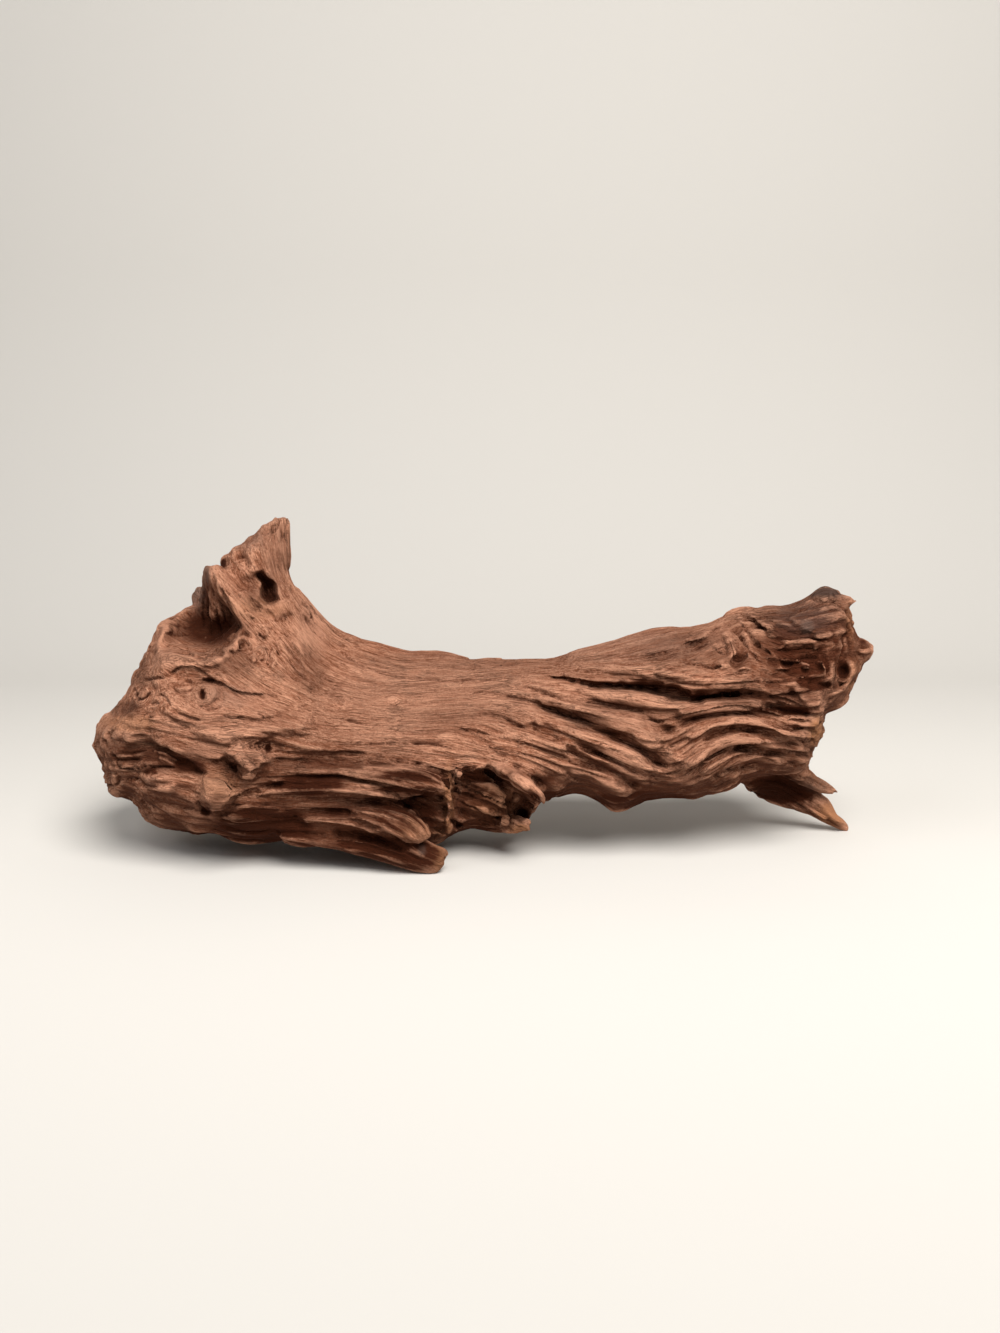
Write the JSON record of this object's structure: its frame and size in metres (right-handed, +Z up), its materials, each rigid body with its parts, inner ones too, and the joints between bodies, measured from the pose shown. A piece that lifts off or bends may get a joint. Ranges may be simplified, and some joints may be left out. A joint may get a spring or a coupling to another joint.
{
  "type": "driftwood",
  "caption": "Weathered reddish-brown driftwood stump with a horn, a long grooved trunk, split root fingers and a splintered leg, resting on three points.",
  "frame": {"origin": "centre of the bounding box's bottom face, in the plane of the three feet that the wood rests on", "axes": "+Z up, +X along the trunk from the horned head to the splintered leg, +Y from the side with the split fingers to the far side"},
  "size_m": [0.2855, 0.084, 0.1211],
  "materials": {
    "weathered_wood": "dry, grooved and fibrous, matt"
  },
  "bodies": {
    "root": {"driftwood": "weathered_wood"}
  },
  "joints": []
}
